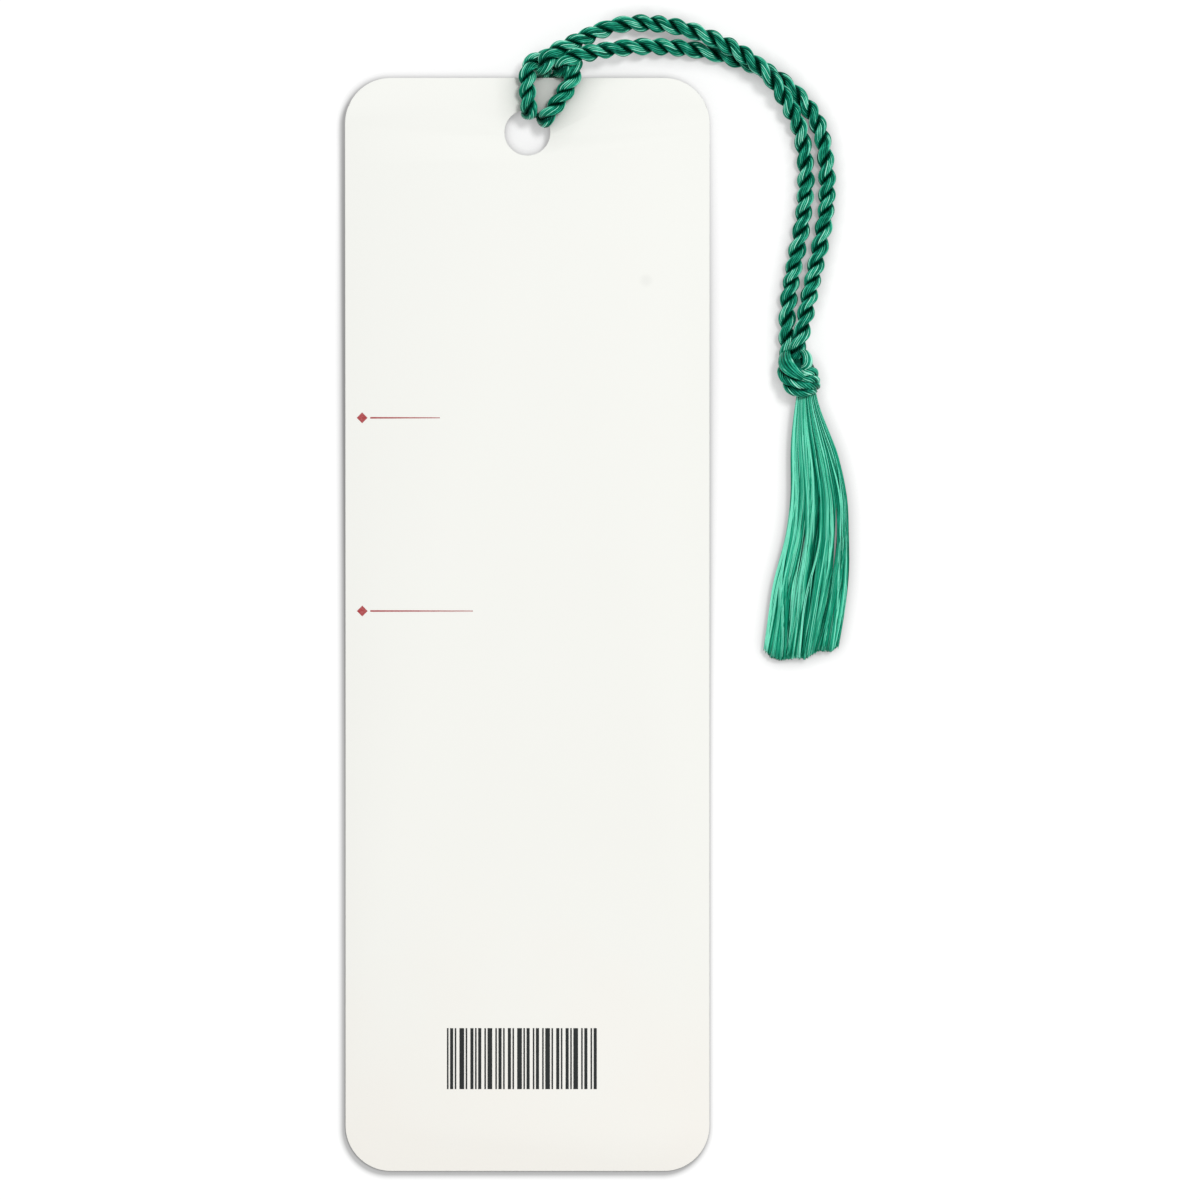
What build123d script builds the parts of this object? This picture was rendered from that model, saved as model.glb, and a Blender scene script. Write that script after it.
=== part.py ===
from build123d import *
import os
from math import cos, radians, sin, sqrt, tan

# A card bookmark with a corded tassel, lying on a table with its punched end towards +Y.
# Millimetres, +Z up. The origin is on the table, under the middle of the card's outline.

# Card
card_width = 50.8
card_length = 152.4
card_thickness = 0.4
corner_radius = 6.35
flat_length = 46.0  # stretch that lies flat, before the card bends up over the cord
hole_diameter = 6.35
hole_inset = 7.6  # from the top edge to the hole's centre
cut_overrun = 5.0

# Cord
cord_diameter = 2.15
cord_sides = 10
cord_gap = 0.12  # clear gap between the cord and what it passes
table_gap = 0.05  # clear gap under whatever lies on the table
run_share = 0.45  # part of a run that the bend at its end may take up
knuckle_share = 0.92  # of the cord's radius, for the ball on which the tassel lifts

# Hitch: a loop on the card's face, with both standing cords rising through it past the top edge
left_pass_angle = 107.0  # places where the cord passes the hole, seen from its centre
right_pass_angle = 25.0
hitch_offset = 3.07  # middle of the hitch, to the right of the hole
riser_apart = 0.42  # clear gap between the two standing cords
leg_apart = 0.40  # clear gap between a standing cord and the loop's leg beside it
riser_clearance = 0.20  # clear gap between the card's top edge and the standing cords
leg_crown = 0.35  # height that the loop stands off the card beside the hole
edge_overhang = 0.40  # stretch of leg beyond the top edge before it turns down
shoulder_inset = 0.35
shoulder_rise = 1.43  # from the standing cords to the loop's shoulders
shoulder_drop = 1.15
bar_half_length = 1.65
bar_rise = 2.53  # from the standing cords to the bar
bar_drop = 1.55
turn_height = 2.10  # from the bar's top to where the standing cords level out

# Joints of the tassel
swing_gap = 0.12  # between the standing cords' two halves
lift_south = 12.875  # from the hitch down to the line where the tassel lifts off the table
lift_gap = 0.25

# Knot
knot_south = 40.175  # from the hitch down to where both cords enter the knot
knot_length = 6.4
knot_thickness = 4.4
knot_cord_radius = 0.85
neck_lip = 0.10  # edge of the knot's neck round the two cords
waist_width = 3.3
waist_thickness = 2.6
waist_corner = 1.1
mouth_lip = 0.20  # edge of the knot's mouth above and below the skirt's collar
mouth_width = 2.2  # narrower than the collar, so that the skirt can sway
mouth_corner = 0.9

# Skirt
skirt_length = 34.3
skirt_spread = 10.6
skirt_thickness = 2.8
skirt_offset = 1.35  # root of the skirt, to the right of the knot's middle
collar_radius = 1.45
collar_height = 2.0
sway_gap = 0.15
strand_fill_share = 0.86

# Worked out from the sizes above
top_y = card_length / 2
hole_y = top_y - hole_inset
bend_start = flat_length - card_length / 2
cord_radius = cord_diameter / 2
lying_z = table_gap + cord_radius
web_lift = cord_diameter + table_gap + cord_gap
bend_run = hole_y - bend_start
bend_radius = (bend_run**2 + web_lift**2) / (2 * web_lift)


def underside(y):
    """Height of the card's underside above the table, beyond the start of its bend."""
    return bend_radius - sqrt(bend_radius**2 - (y - bend_start) ** 2)


def upper_face(y):
    """Height of the card's upper face above the table, beyond the start of its bend."""
    return bend_radius - sqrt((bend_radius - card_thickness) ** 2 - (y - bend_start) ** 2)


def corner_radii(points):
    """Radius at each inner point of a route, as large as its two runs allow."""
    radii = []
    for before, here, after in zip(points, points[1:], points[2:]):
        arriving = Vector(*here) - Vector(*before)
        leaving = Vector(*after) - Vector(*here)
        half_turn = radians(arriving.get_angle(leaving)) / 2
        shorter_run = min(arriving.length, leaving.length)
        radii.append(run_share * shorter_run / tan(half_turn))
    return radii


def cord_tube(points, radii):
    """A cord along straight runs joined by tangent arcs, with square ends."""
    with BuildPart() as tube:
        with BuildLine():
            path = FilletPolyline(*points, radius=radii)
        with BuildSketch(Plane(path @ 0, z_dir=path % 0)):
            section = RegularPolygon(cord_radius, cord_sides)
        sweep(path=path)
    expected = section.area * path.length
    print(f"cord of {path.length:.1f} mm, least radius {min(radii):.2f} mm,", end=" ")
    print(f"volume {tube.part.volume / expected:.4f} of section times length")
    return tube.part


def along(start, end, distance):
    """Point at a distance from one point towards another."""
    step = (Vector(*end) - Vector(*start)).normalized()
    return tuple(Vector(*start) + step * distance)


def at_north(start, end, y):
    """Point on the run between two points where it crosses y."""
    share = (y - start[1]) / (end[1] - start[1])
    return tuple(Vector(*start) + (Vector(*end) - Vector(*start)) * share)


def write(part, name):
    """Label a finished piece and write it to its own file."""
    part.label = name
    export_step(part, f"parts/{name}.step")


os.makedirs("parts", exist_ok=True)

# Card: bent up gently along its length, round-cornered, with one punched hole
near_y = -top_y - cut_overrun
far_y = top_y + cut_overrun

with BuildPart() as card:
    with BuildSketch(Plane.YZ):
        with BuildLine():
            flat_under = Line((near_y, 0), (bend_start, 0))
            bent_under = TangentArc((bend_start, 0), (far_y, underside(far_y)), tangent=(1, 0))
            bent_upper = TangentArc(
                (bend_start, card_thickness), (far_y, upper_face(far_y)), tangent=(1, 0)
            )
            flat_upper = Line((bend_start, card_thickness), (near_y, card_thickness))
            Line(flat_under @ 0, flat_upper @ 1)
            Line(bent_under @ 1, bent_upper @ 1)
        make_face()
    extrude(amount=card_width / 2 + cut_overrun, both=True)
    with BuildSketch():
        RectangleRounded(card_width, card_length, corner_radius)
        with Locations((0, hole_y)):
            Circle(hole_diameter / 2, mode=Mode.SUBTRACT)
    extrude(amount=upper_face(far_y) + cut_overrun, mode=Mode.INTERSECT)
write(card.part, "card")

# Hitch: places of the loop, the two passes through the hole and the two standing cords
pass_radius = hole_diameter / 2 - cord_radius - cord_gap
left_pass_x = pass_radius * cos(radians(left_pass_angle))
left_pass_y = hole_y + pass_radius * sin(radians(left_pass_angle))
right_pass_x = pass_radius * cos(radians(right_pass_angle))
right_pass_y = hole_y + pass_radius * sin(radians(right_pass_angle))
hitch_y = top_y + cord_radius + riser_clearance
half_risers = (cord_diameter + riser_apart) / 2
half_loop = half_risers + cord_diameter + leg_apart
leg_z = upper_face(top_y) + cord_radius + cord_gap
hole_leg_z = leg_z + leg_crown - cord_gap
pass_cut_z = (lying_z + hole_leg_z) / 2
edge_y = top_y + edge_overhang
shoulder_y = hitch_y + shoulder_rise
bar_y = hitch_y + bar_rise
shoulder_z = leg_z - shoulder_drop
bar_z = leg_z - bar_drop
riser_top_z = bar_z + cord_radius + cord_gap
standing_z = riser_top_z + turn_height
standing_lift = standing_z - lying_z

left_pass = (left_pass_x, left_pass_y, hole_leg_z)
right_pass = (right_pass_x, right_pass_y, hole_leg_z)
left_foot = (left_pass_x, left_pass_y, lying_z)
right_foot = (right_pass_x, right_pass_y, lying_z)
left_riser = (hitch_offset - half_risers, hitch_y)
right_riser = (hitch_offset + half_risers, hitch_y)

# Hitch loop: up out of the hole, over the top edge, across as the bar and back down the hole
loop_route = [
    left_foot,
    left_pass,
    (hitch_offset - half_loop, edge_y, leg_z),
    (hitch_offset - half_loop + shoulder_inset, shoulder_y, shoulder_z),
    (hitch_offset - bar_half_length, bar_y, bar_z),
    (hitch_offset + bar_half_length, bar_y, bar_z),
    (hitch_offset + half_loop - shoulder_inset, shoulder_y, shoulder_z),
    (hitch_offset + half_loop, edge_y, leg_z),
    right_pass,
    right_foot,
]
loop_radii = corner_radii(loop_route)
loop_start = (left_pass_x, left_pass_y, pass_cut_z)
loop_end = (right_pass_x, right_pass_y, pass_cut_z)
hitch_loop = cord_tube([loop_start, *loop_route[1:-1], loop_end], loop_radii)
write(hitch_loop, "hitch_loop")

# Hitch legs: from the hole along the table under the card, then up past its top edge
for name, high, foot, riser in [
    ("hitch_leg_left", left_pass, left_foot, left_riser),
    ("hitch_leg_right", right_pass, right_foot, right_riser),
]:
    leg_route = [high, foot, (*riser, lying_z), (*riser, standing_z)]
    leg_start = (foot[0], foot[1], pass_cut_z)
    leg_end = (*riser, riser_top_z)
    leg = cord_tube([leg_start, *leg_route[1:-1], leg_end], corner_radii(leg_route))
    write(leg, name)

# Free cords: rows of east and north of the hitch's middle, and height above a cord that lies flat
crossing_lift = cord_diameter + 2 * cord_gap
knot_lift = table_gap + knot_thickness / 2 - lying_z
upper_rows = [
    (0.23, 3.33, standing_lift),
    (5.23, 5.43, 3.3),
    (11.63, 6.53, 0.5),
    (18.43, 5.63, 1.0),
    (25.13, 2.83, crossing_lift),
    (30.53, -0.87, crossing_lift),
    (33.53, -4.67, 1.5),
    (35.55, -9.08, 0),
    (35.88, -18.87, 0),
    (33.93, -29.57, 0),
    (33.28, -35.87, knot_lift),
    (33.28, -knot_south, knot_lift),
]
lower_rows = [
    (4.78, 1.48, standing_lift),
    (10.33, 3.23, 2.5),
    (16.93, 3.48, 0),
    (23.53, 2.43, 0),
    (30.13, 0.13, 0),
    (35.33, -3.47, 0),
    (38.33, -9.08, 0),
    (38.95, -18.87, 0),
    (36.83, -27.27, 0),
    (35.63, -34.47, knot_lift),
    (35.63, -knot_south, knot_lift),
]
lift_y = hitch_y - lift_south


def free_route(riser, rows):
    """Route of a standing cord from its riser's foot to the knot."""
    points = [(hitch_offset + east, hitch_y + north, lying_z + lift) for east, north, lift in rows]
    return [(*riser, lying_z), (*riser, standing_z), *points]


for side, riser, rows in [("upper", left_riser, upper_rows), ("lower", right_riser, lower_rows)]:
    route = free_route(riser, rows)
    radii = corner_radii(route)
    fold = max(index for index, point in enumerate(route) if point[1] > lift_y)
    hinge_point = at_north(route[fold], route[fold + 1], lift_y)

    # The arch ends in a ball on the line where the tassel lifts
    arch_start = (*riser, riser_top_z + swing_gap)
    arch_tube = cord_tube([arch_start, *route[1 : fold + 1], hinge_point], radii[:fold])
    with BuildPart() as arch:
        add(arch_tube)
        with Locations(hinge_point):
            Sphere(knuckle_share * cord_radius)
    write(arch.part, f"arch_cord_{side}")

    # The run starts just clear of that ball and ends square on the knot
    run_start = along(hinge_point, route[fold + 1], cord_radius + lift_gap)
    run = cord_tube([run_start, *route[fold + 1 :]], radii[fold:])
    write(run, f"run_cord_{side}")

# Knot: a waisted core that both cords run into, with three turns of cord drawn tight round it
left_end_x = hitch_offset + upper_rows[-1][0]
right_end_x = hitch_offset + lower_rows[-1][0]
knot_x = (left_end_x + right_end_x) / 2
knot_top_y = hitch_y - knot_south
knot_bottom_y = knot_top_y - knot_length
knot_y = (knot_top_y + knot_bottom_y) / 2
knot_z = table_gap + knot_thickness / 2
neck_width = right_end_x - left_end_x + cord_diameter + 2 * neck_lip
neck_thickness = cord_diameter + 2 * neck_lip
skirt_x = knot_x + skirt_offset
skirt_z = table_gap + skirt_thickness / 2
socket_radius = collar_radius + sway_gap
socket_height = collar_height + 2 * sway_gap
mouth_thickness = socket_height + 2 * mouth_lip

# Each turn: heading in degrees, and shares of the knot's length: east, north, half length, half depth
wrap_shares = [
    (-58.0, -0.04, 0.08, 0.29, 0.21),
    (20.0, 0.0, -0.04, 0.28, 0.19),
    (-8.0, 0.02, 0.26, 0.255, 0.175),
]


def across(y, x, z):
    """Plane square to the knot's length, with its own x and y along X and Z."""
    return Plane((x, y, z), x_dir=(1, 0, 0), z_dir=(0, -1, 0))


with BuildPart() as tassel_knot:
    with BuildSketch(across(knot_top_y, knot_x, knot_z)):
        RectangleRounded(neck_width, neck_thickness, cord_radius)
    with BuildSketch(across(knot_y, knot_x, knot_z)):
        RectangleRounded(waist_width, waist_thickness, waist_corner)
    loft()
    with BuildSketch(across(knot_y, knot_x, knot_z)):
        RectangleRounded(waist_width, waist_thickness, waist_corner)
    with BuildSketch(across(knot_bottom_y, skirt_x, knot_z)):
        RectangleRounded(mouth_width, mouth_thickness, mouth_corner)
    loft()
    for heading, east_share, north_share, length_share, depth_share in wrap_shares:
        middle = (knot_x + east_share * knot_length, knot_y + north_share * knot_length, knot_z)
        heading_x = cos(radians(heading))
        heading_y = sin(radians(heading))
        turn_plane = Plane(middle, x_dir=(heading_x, heading_y, 0), z_dir=(heading_y, -heading_x, 0))
        half_length = length_share * knot_length
        half_depth = depth_share * knot_length
        with BuildLine(turn_plane):
            turn = FilletPolyline(
                (-half_length, -half_depth),
                (half_length, -half_depth),
                (half_length, half_depth),
                (-half_length, half_depth),
                radius=2 * run_share * half_depth,
                close=True,
            )
        with BuildSketch(Plane(turn @ 0, z_dir=turn % 0)):
            RegularPolygon(knot_cord_radius, cord_sides)
        sweep(path=turn)
    with Locations((skirt_x, knot_bottom_y, knot_z)):
        Cylinder(socket_radius, socket_height, mode=Mode.SUBTRACT)
write(tassel_knot.part, "tassel_knot")

# Skirt: the four plies of the two cords combed out, each a tuft of strands from one slice of the collar
tuft_count = 4
columns = 12
column_rows = [3, 4, 5, 5, 6, 6, 6, 6, 5, 5, 4, 3]
# Each section: shares of the skirt's length, of its spread to the section's middle and width,
# of its thickness, and of the height that the knot's middle has over the lying skirt's
section_shares = [
    (0.01, 0.0, 0.255, 0.68, 1.0),
    (0.22, 0.102, 0.547, 0.96, 0.25),
    (0.447, 0.156, 0.736, 1.0, 0.0),
    (0.72, 0.085, 0.906, 0.93, 0.0),
    (1.0, -0.066, 1.0, 0.82, 0.0),
]
tip_shares = [0.0, 0.02, 0.034, 0.036, 0.03, 0.03, 0.036, 0.03, 0.012, 0.0, 0.008, 0.0]


def section_at(reach_share):
    """The last section moved along the skirt, to where one strand is cut."""
    before = section_shares[-2]
    last = section_shares[-1]
    step = (reach_share - before[0]) / (last[0] - before[0])
    return tuple(low + (high - low) * step for low, high in zip(before, last))


def strand(column, row):
    """One strand, a ruled loft through its own place in each section of the skirt."""
    rows = column_rows[column]
    place_x = (2 * column + 1) / columns - 1
    half_chord = sqrt(1 - place_x**2)
    place_z = half_chord * ((2 * row + 1) / rows - 1)
    sections = [*section_shares[:-1], section_at(section_shares[-1][0] + tip_shares[column])]
    with BuildPart() as lock:
        for length_share, middle_share, width_share, thickness_share, rise_share in sections:
            half_width = width_share * skirt_spread / 2
            half_thickness = thickness_share * skirt_thickness / 2
            x = skirt_x + middle_share * skirt_spread + place_x * half_width
            z = skirt_z + rise_share * (knot_z - skirt_z) + place_z * half_thickness
            width = strand_fill_share * 2 * half_width / columns
            height = strand_fill_share * 2 * half_thickness * half_chord / rows
            with BuildSketch(across(knot_bottom_y - length_share * skirt_length, x, z)):
                Rectangle(width, height)
        loft(ruled=True)
    return lock.part


root_y = knot_bottom_y - section_shares[0][0] * skirt_length
root_width = section_shares[0][2] * skirt_spread
tuft_width = root_width / tuft_count
tuft_columns = columns // tuft_count

for tuft_index in range(tuft_count):
    first_column = tuft_index * tuft_columns
    strands = [
        strand(column, row)
        for column in range(first_column, first_column + tuft_columns)
        for row in range(column_rows[column])
    ]
    left = -collar_radius if tuft_index == 0 else tuft_index * tuft_width - root_width / 2
    right = collar_radius if tuft_index == tuft_count - 1 else (tuft_index + 1) * tuft_width - root_width / 2
    with BuildPart() as tuft:
        with BuildSketch(Plane.XY.offset(knot_z - collar_height / 2)):
            with Locations((skirt_x, knot_bottom_y)):
                Circle(collar_radius)
            with Locations((skirt_x + left, root_y)):
                Rectangle(right - left, 2 * collar_radius, align=Align.MIN, mode=Mode.INTERSECT)
        extrude(amount=collar_height)
        add(strands)
    write(tuft.part, f"skirt_tuft_{tuft_index + 1}")
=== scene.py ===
import math
from dataclasses import dataclass

import bmesh
import bpy
import numpy as np
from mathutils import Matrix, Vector


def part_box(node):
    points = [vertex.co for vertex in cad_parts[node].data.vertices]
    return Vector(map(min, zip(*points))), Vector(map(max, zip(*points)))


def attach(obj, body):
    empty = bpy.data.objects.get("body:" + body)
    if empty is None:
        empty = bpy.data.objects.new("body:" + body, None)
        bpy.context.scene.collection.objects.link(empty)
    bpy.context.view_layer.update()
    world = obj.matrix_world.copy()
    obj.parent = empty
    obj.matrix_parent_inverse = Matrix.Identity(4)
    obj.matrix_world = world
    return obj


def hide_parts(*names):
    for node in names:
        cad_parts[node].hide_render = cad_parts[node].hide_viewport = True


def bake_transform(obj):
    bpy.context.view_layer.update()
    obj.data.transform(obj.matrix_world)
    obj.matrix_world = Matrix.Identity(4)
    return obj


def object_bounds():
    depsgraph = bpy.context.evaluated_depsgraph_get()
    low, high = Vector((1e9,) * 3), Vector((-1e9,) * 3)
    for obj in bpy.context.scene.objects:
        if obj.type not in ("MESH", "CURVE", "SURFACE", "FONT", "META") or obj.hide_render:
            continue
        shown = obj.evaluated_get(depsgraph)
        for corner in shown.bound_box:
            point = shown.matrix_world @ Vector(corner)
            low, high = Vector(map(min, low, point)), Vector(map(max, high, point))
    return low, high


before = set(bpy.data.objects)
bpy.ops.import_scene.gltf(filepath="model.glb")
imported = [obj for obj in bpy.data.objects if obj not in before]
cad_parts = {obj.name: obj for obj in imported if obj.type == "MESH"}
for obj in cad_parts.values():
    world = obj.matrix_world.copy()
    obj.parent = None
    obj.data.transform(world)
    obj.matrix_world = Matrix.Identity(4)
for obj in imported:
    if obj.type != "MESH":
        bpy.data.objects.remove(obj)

# The looks of a card bookmark with a corded tassel. Lengths are in millimetres unless their heading
# says metres, and MM brings them into the frame's metres. Angles are in radians unless named degrees.

MM = 0.001
cad_low, cad_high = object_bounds()

# Photograph: millimetres to a pixel, and the pixel over the frame's origin
PIXEL = 0.1396
ORIGIN_PIXEL = (527.5, 625.0)
IMAGE_PIXELS = 1200

# Card: its outline comes from the frame, its bend and hole from the part
CORNER_RADIUS = 6.35
CORNER_STEPS = 24
CARD_THICKNESS = 0.4
BEND_START_Y = -30.2
BEND_CUTS = 27
HOLE_Y = 68.6
HOLE_RADIUS = 3.175
LIFT_AT_HOLE = 2.32
CARD_EDGE_ROUND = 0.07
CARD_EDGE_STEPS = 3
CARD_EDGE_PROFILE = 0.5
RIM_LEAST_DEGREES = 70
SHARP_DEGREES = 25
UPRIGHT_LIMIT = 0.5

# Card stock: colours from the card's foot to its top, a faint mottle and one smudge
CARD_STOPS = [
    (0.0, (0.930, 0.908, 0.854)),
    (0.22, (0.926, 0.926, 0.880)),
    (1.0, (0.942, 0.949, 0.907)),
]
CARD_FINISH = {"Roughness": 0.6, "Specular IOR Level": 0.15}
CARD_NOISE_DETAIL = 2.0
MOTTLE_SCALE = 60.0
MOTTLE_SHARE = 0.3
SMUDGE_PIXEL = (646.0, 281.0)
SMUDGE_EDGE = 1.275
SMUDGE_CORE = 0.45
SMUDGE_SHARE = 0.09
SMUDGE_COLOUR = (0.35, 0.36, 0.36, 1)
# Painted shade on the card where another surface is near: its reach and strength
CARD_CONTACT_REACH = 4.0
CARD_CONTACT_SHADE = 0.65
TOOTH_SCALE = 2500.0
TOOTH_BUMP = 0.15
TOOTH_DEPTH = 0.01

# Flat tones with fine specks: colour, how much lighter the specks are, and roughness
CUT_EDGE = ((0.70, 0.69, 0.65), 0.12, 0.7)
RED_INK = ((0.40, 0.035, 0.04), 0.1, 0.5)
BLACK_INK = ((0.006, 0.010, 0.010), 0.01, 0.45)
SPECK_SCALE = 4000.0
SPECK_STOPS = (0.35, 0.75)
SPECK_GLOSS = 0.3
FINE_NOISE_DETAIL = 3.0

# Print: two red rules to write on and a row of plain bars, all of them generic
INK_RISE = 0.012
INK_SINK = 0.03
RULE_PIXELS = [(357, 418, 440), (357, 611, 473)]
RULE_HALF_WIDTH = 0.11
RULE_END_HALF_WIDTH = 0.055
RULE_GAP = 0.375
DIAMOND_HALF = 0.75
BARS_PIXELS = (447, 597, 1028, 1089)
BAR_UNIT = 0.2178
BAR_SHARES = [1, 2, 1, 3, 1, 2]
GAP_SHARES = [1, 1, 2, 1, 2]

# Cord: one length of two-ply twisted rayon, doubled. A lay is the length of one turn
HITCH_LAY = 4.5
RUN_LAY = 4.9
ARCH_LAY = 5.2
RUN_TO_ARCH_Y = (66, 75)
HITCH_TO_FREE_X = (4, 10)
TWIST_WANDER = 0.25
TWIST_PACE = 0.53
PLIES = 2
HELIX_RADIUS = 0.57
PLY_HALF_DEPTH = 0.67
PLY_HALF_WIDTH = 0.65
RING_SPACING = 0.13
CORD_SEED = 3
# Painted light round a ply: its tone goes from dark on the flanks where the plies meet to lit on its
# outer side
CORD_PAINTED_LIGHT = (-0.22, 0.5)

# Swelling of a ply along the cord: rows of its share, its pace and its shift by the ply's seed
PLUMP_WAVES = [(0.05, 1.9, 1), (0.04, 0.83, 2)]

# Yarns of a ply: their grooves, and their tone from the grooves to the lit crowns, with painted shade in
# the grooves and on the flanks and a painted highlight on the crowns
YARNS = 13
SIDES_PER_YARN = 4
YARN_GROOVE = 0.36
GROOVE_SPREAD = (0.6, 1.3)
YARN_UNTWIST = 1.5
YARN_CONTRAST = 0.32
BRIGHT_YARNS = 3
BRIGHT_YARN_TONE = 0.14
# Painted shade in the grooves and on unlit flanks, and a painted highlight on lit crowns
PAINTED_SHADE_TONE = 0.04
FLANK_TONE = 0.16
PAINTED_CROWN_HIGHLIGHT = 0.58
CROWN_POWER = 1.5
GRAIN_ROUND = 3.6
GRAIN_APART = 7.0

# Rayon: colours by tone, and the strength of the fine filaments along a yarn
CORD_STOPS = [
    (0.0, (0.0, 0.014, 0.008)),
    (0.3, (0.0005, 0.085, 0.046)),
    (0.55, (0.003, 0.23, 0.13)),
    (0.8, (0.04, 0.48, 0.30)),
    (1.0, (0.40, 0.92, 0.72)),
]
SKIRT_STOPS = [
    (0.0, (0.0, 0.020, 0.010)),
    (0.3, (0.001, 0.17, 0.085)),
    (0.55, (0.010, 0.38, 0.22)),
    (0.8, (0.06, 0.58, 0.37)),
    (1.0, (0.28, 0.97, 0.72)),
]
CORD_ROUGHNESS = 0.3
SKIRT_ROUGHNESS = 0.38
CORD_STREAKS = 0.95
SKIRT_STREAKS = 0.5
FILAMENT_SCALE = 1.0
FILAMENT_BUMP = 0.6
FILAMENT_DEPTH = 0.05
RAYON_TINT = (0.1, 1.0, 0.75, 1)
RAYON_FINISH = {
    "Specular IOR Level": 0.5,
    "Specular Tint": RAYON_TINT,
    "Sheen Weight": 0.08,
    "Sheen Roughness": 0.3,
    "Sheen Tint": RAYON_TINT,
}

# Spline on a route's points: its order, and its steps between two points
ROUTE_ORDER = 3
ROUTE_STEPS = 32

# Route of each free cord from the hitch to the knot, and of the hitch between them
UPPER_ROUTE = [
    (2.35, 77.55, 5.20),
    (3.00, 79.40, 5.60),
    (6.30, 80.75, 5.00),
    (10.20, 82.95, 3.00),
    (14.90, 84.15, 1.50),
    (21.60, 83.40, 2.125),
    (28.40, 80.65, 3.515),
    (33.70, 76.80, 3.515),
    (36.25, 72.70, 2.625),
    (38.60, 68.395, 1.125),
    (39.00, 58.605, 1.125),
    (36.70, 47.905, 1.125),
    (36.05, 41.605, 1.40),
    (36.40, 36.80, 1.60),
]
LOWER_ROUTE = [
    (4.75, 77.55, 5.00),
    (5.40, 78.90, 5.40),
    (9.00, 79.65, 4.80),
    (13.60, 80.45, 2.80),
    (20.00, 80.75, 1.125),
    (26.60, 79.75, 1.125),
    (33.20, 77.605, 1.125),
    (38.20, 73.805, 1.125),
    (41.45, 68.395, 1.125),
    (42.02, 58.605, 1.125),
    (40.20, 50.205, 1.125),
    (38.85, 43.505, 2.40),
    (37.90, 39.50, 3.20),
    (37.40, 38.00, 2.70),
    (37.00, 36.60, 1.20),
    (37.00, 35.40, 1.10),
]
HITCH_ROUTE = [
    (2.20, 77.30, 3.60),
    (2.05, 77.45, 2.00),
    (1.75, 76.40, 1.125),
    (0.80, 73.60, 1.125),
    (0.30, 71.05, 1.20),
    (0.30, 71.05, 4.30),
    (0.00, 73.80, 4.45),
    (0.00, 76.70, 4.60),
    (0.45, 78.20, 3.60),
    (2.00, 79.05, 2.735),
    (4.70, 79.15, 2.735),
    (6.45, 78.80, 3.60),
    (6.80, 76.90, 4.60),
    (4.65, 73.10, 4.45),
    (2.20, 70.12, 4.30),
    (2.20, 70.12, 1.20),
    (3.00, 73.40, 1.125),
    (4.30, 76.40, 1.125),
    (4.65, 77.45, 2.00),
    (4.70, 77.30, 3.60),
]
BAR_MIDDLE = (3.2, 79.15, 2.735)
UPPER_SEAM = (32.5, 77.6, 3.5)
LOWER_SEAM = (34.5, 76.9, 1.1)

# Folds of the cord over the hole's edge, where it is pressed flat against the edge
FOLD_PLACES = [(0.30, 71.05, 2.75), (2.20, 70.12, 2.75)]
FOLD_SHARE = 0.62
FOLD_CORE = 0.4
FOLD_REACH = 2.4

# Knot: each strand is a list of rows of pixel x and y, height, half width and half depth
KNOT_MIDDLE_PIXEL = (798.0, 375.0)
KNOT_MIDDLE_Z = 2.25
KNOT_COMBED = [
    [
        (788, 350, 1.6, 0.70, 0.45),
        (784.5, 354, 2.4, 0.95, 0.5),
        (784, 360, 3.4, 1.15, 0.55),
        (787, 367, 4.0, 1.20, 0.55),
        (794, 373.5, 4.25, 0.95, 0.55),
        (801.5, 378, 4.0, 0.65, 0.5),
        (806, 380, 3.2, 0.5, 0.5),
        (808, 381, 2.4, 0.4, 0.4),
    ],
    [
        (798, 351, 2.4, 0.5, 0.5),
        (803.5, 353, 3.2, 0.65, 0.55),
        (806.5, 357.5, 3.7, 0.78, 0.6),
        (807.2, 363.5, 3.8, 0.82, 0.6),
        (804.5, 369, 3.5, 0.7, 0.5),
        (799.5, 373, 3.0, 0.5, 0.4),
    ],
    [
        (784, 362, 0.75, 0.8, 0.45),
        (791, 366, 0.7, 0.9, 0.45),
        (802, 373, 0.7, 0.8, 0.45),
        (812, 380, 1.2, 0.6, 0.5),
    ],
]
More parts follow.
